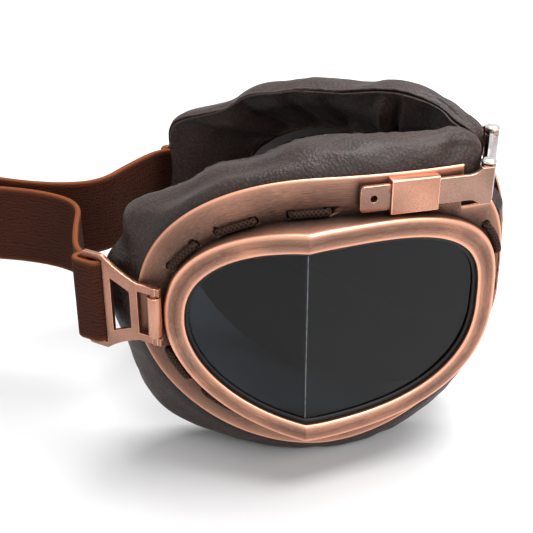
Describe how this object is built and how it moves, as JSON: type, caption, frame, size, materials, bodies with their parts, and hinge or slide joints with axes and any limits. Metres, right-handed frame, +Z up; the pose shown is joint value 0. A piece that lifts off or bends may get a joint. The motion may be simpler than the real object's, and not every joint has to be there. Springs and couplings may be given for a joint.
{
  "type": "folding goggles",
  "caption": "Folding riding goggles: creased smoke lenses in laced copper frames with padded leather cushions, a hinged sliding nose bridge and an elastic band on swinging buckles.",
  "frame": {"origin": "on the floor under the middle of the folded goggles, in the plane of symmetry between the eyepieces", "axes": "+X from the band towards the nose bridge, +Y towards the left eyepiece, +Z up"},
  "size_m": [0.2066, 0.093, 0.0978],
  "materials": {
    "antique_copper": "satin",
    "smoke_lens": "gloss",
    "gasket_rubber": "matte",
    "dark_steel": "satin",
    "lacing_cord": "matte",
    "brown_leather": "satin",
    "cushion_foam": "matte",
    "link_steel": "satin",
    "pin_steel": "polished",
    "elastic_band": "matte"
  },
  "bodies": {
    "right_eyepiece": {"right_bezel": "antique_copper", "right_lens_gasket": "gasket_rubber", "right_temple_pane": "smoke_lens", "right_nose_pane": "smoke_lens", "right_lens_retainer": "dark_steel", "right_lacing_cord": "lacing_cord", "right_flange": "antique_copper", "right_temple_lug": "antique_copper", "right_cushion_cover": "brown_leather", "right_cushion_foam": "cushion_foam", "right_bridge_sleeve": "antique_copper"},
    "right_bridge_strap": {"right_bridge_strap": "antique_copper"},
    "right_buckle": {"right_buckle": "antique_copper"},
    "left_eyepiece": {"left_bezel": "antique_copper", "left_lens_gasket": "gasket_rubber", "left_temple_pane": "smoke_lens", "left_nose_pane": "smoke_lens", "left_lens_retainer": "dark_steel", "left_lacing_cord": "lacing_cord", "left_flange": "antique_copper", "left_temple_lug": "antique_copper", "left_cushion_cover": "brown_leather", "left_cushion_foam": "cushion_foam", "left_bridge_sleeve": "antique_copper"},
    "left_bridge_strap": {"left_bridge_strap": "antique_copper"},
    "left_buckle": {"left_buckle": "antique_copper"},
    "bridge_link": {"bridge_link": "link_steel", "hinge_pins": "pin_steel", "head_band": "elastic_band"}
  },
  "joints": [
    {"name": "right_bridge_slide", "type": "slide", "parent": "right_eyepiece", "child": "right_bridge_strap", "axis": [0.8833, 0.4687, 0], "range_m": [0, 0.006], "deforming": ["head_band"]},
    {"name": "right_bridge_hinge", "type": "hinge", "parent": "right_bridge_strap", "child": "bridge_link", "pos_m": [0.09642, -0.01199, 0.0858], "axis": [0, 0, -1], "range_deg": [0, 60], "deforming": ["head_band"]},
    {"name": "left_bridge_hinge", "type": "hinge", "parent": "bridge_link", "child": "left_bridge_strap", "pos_m": [0.09642, 0.01199, 0.0858], "axis": [0, 0, -1], "range_deg": [0, 60], "deforming": ["head_band"]},
    {"name": "left_bridge_slide", "type": "slide", "parent": "left_bridge_strap", "child": "left_eyepiece", "axis": [-0.8833, 0.4687, 0], "range_m": [0, 0.006], "deforming": ["head_band"]},
    {"name": "right_buckle_hinge", "type": "hinge", "parent": "right_eyepiece", "child": "right_buckle", "pos_m": [0.01481, -0.04463, 0.0526], "axis": [0, 0, 1], "range_deg": [-2, 45], "deforming": ["head_band"]},
    {"name": "left_buckle_hinge", "type": "hinge", "parent": "left_eyepiece", "child": "left_buckle", "pos_m": [0.01481, 0.04463, 0.0526], "axis": [0, 0, -1], "range_deg": [-2, 45], "deforming": ["head_band"]}
  ]
}
